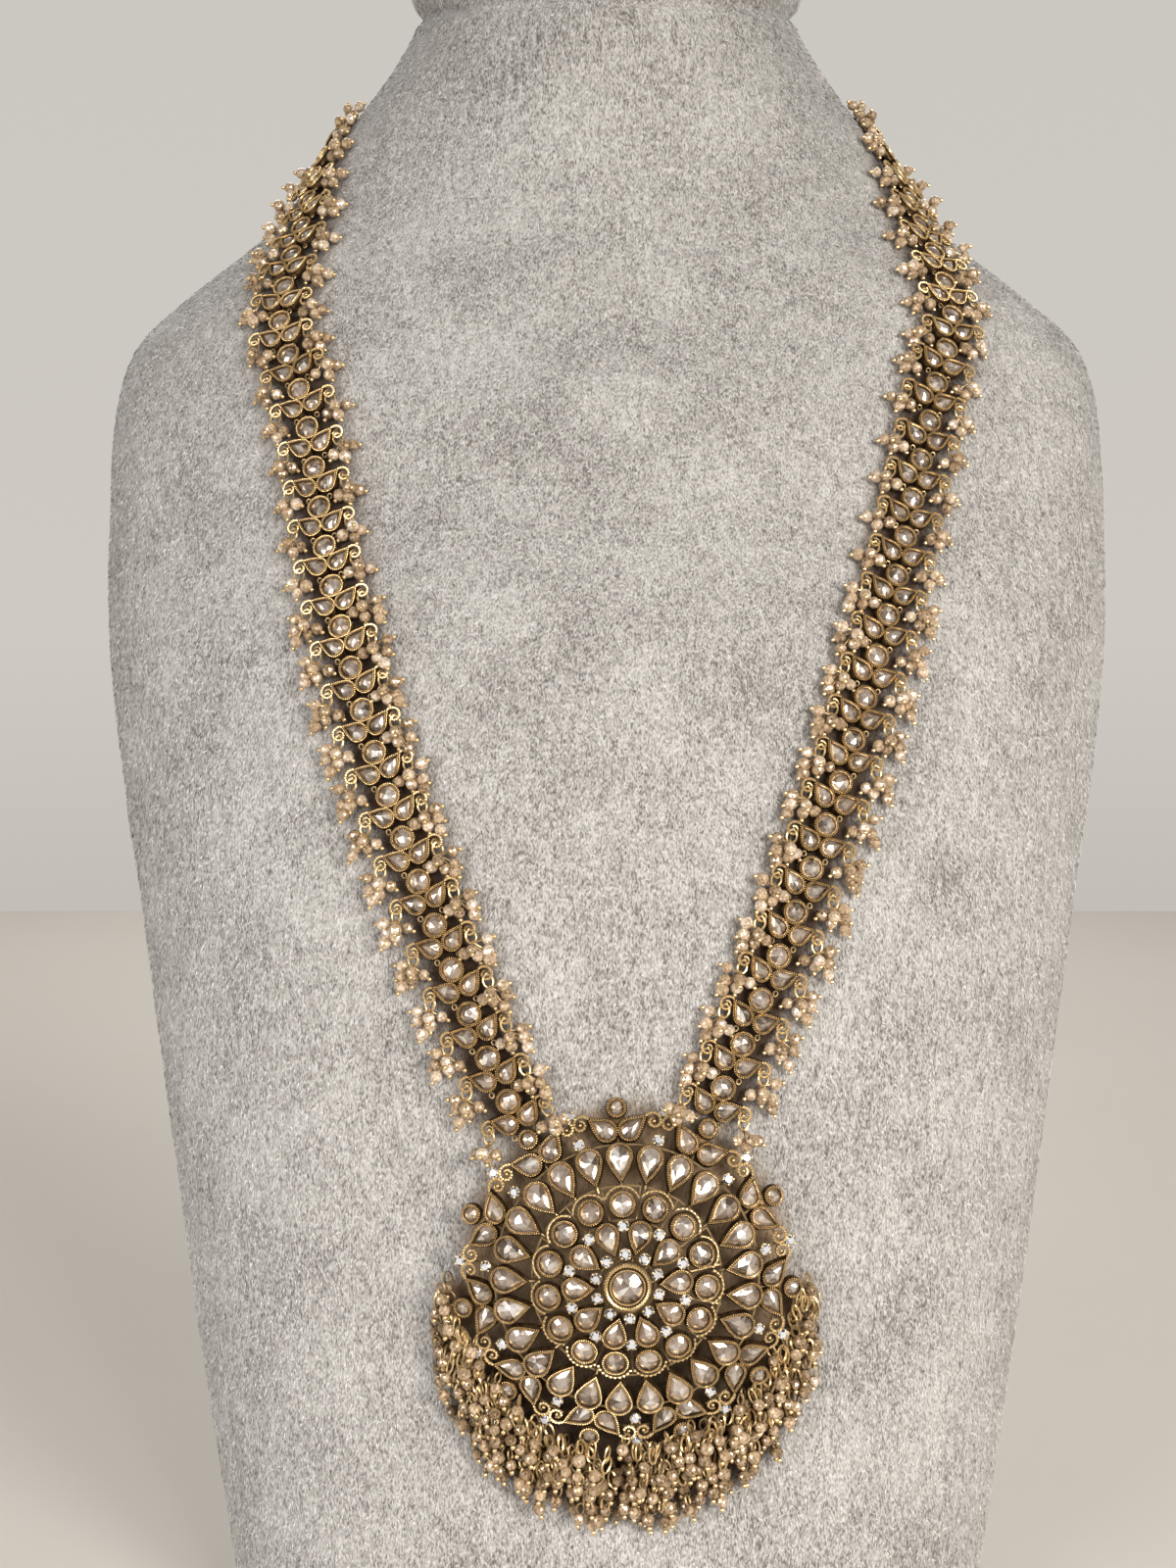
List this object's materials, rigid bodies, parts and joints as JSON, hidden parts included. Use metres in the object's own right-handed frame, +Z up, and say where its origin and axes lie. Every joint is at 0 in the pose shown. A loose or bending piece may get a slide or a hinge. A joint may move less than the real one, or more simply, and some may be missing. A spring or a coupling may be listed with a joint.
{
  "type": "long necklace on a neck bust",
  "caption": "Long link necklace with stone-set straps, a domed round medallion and a bead fringe, laid on a plain plush neck bust with a flat base.",
  "frame": {"origin": "on the plane that the bust stands on, under the middle of its bounding box", "axes": "+Z up along the neck, -Y out of the front that carries the medallion, +X to the right as seen from the front"},
  "size_m": [0.2922, 0.2126, 0.483],
  "materials": {
    "gold": "antique gold plating, milled edges, darkened in the hollows",
    "stone": "champagne-grey faceted glass with a foiled back",
    "crystal": "clear faceted crystal",
    "bead": "peach-champagne faceted glass bead",
    "plush": "short-pile grey-beige plush over a firm form"
  },
  "bodies": {
    "root": {"neck_bust": "plush", "medallion_frame": "gold", "centre_stone": "stone", "inner_pear_stones": "stone", "round_stones": "stone", "outer_pear_stones": "stone", "edge_pear_stones": "stone", "edge_round_stones": "stone", "crystals": "crystal", "medallion_fringe": "bead", "strap_top_left": "gold", "strap_top_right": "gold", "link_stones_left": "stone", "link_stones_right": "stone", "joining_rings_left": "gold", "joining_rings_right": "gold", "bead_drops_left": "bead", "bead_drops_right": "bead", "back_chain_left": "gold", "back_chain_right": "gold", "clasp": "gold", "link_left_01": "gold", "link_left_02": "gold", "link_left_03": "gold", "link_left_04": "gold", "link_left_05": "gold", "link_left_06": "gold", "link_left_07": "gold", "link_left_08": "gold", "link_left_09": "gold", "link_left_10": "gold", "link_left_11": "gold", "link_left_12": "gold", "link_left_13": "gold", "link_left_14": "gold", "link_left_15": "gold", "link_left_16": "gold", "link_left_17": "gold", "link_left_18": "gold", "link_right_01": "gold", "link_right_02": "gold", "link_right_03": "gold", "link_right_04": "gold", "link_right_05": "gold", "link_right_06": "gold", "link_right_07": "gold", "link_right_08": "gold", "link_right_09": "gold", "link_right_10": "gold", "link_right_11": "gold", "link_right_12": "gold", "link_right_13": "gold", "link_right_14": "gold", "link_right_15": "gold", "link_right_16": "gold", "link_right_17": "gold", "link_right_18": "gold"}
  },
  "joints": []
}
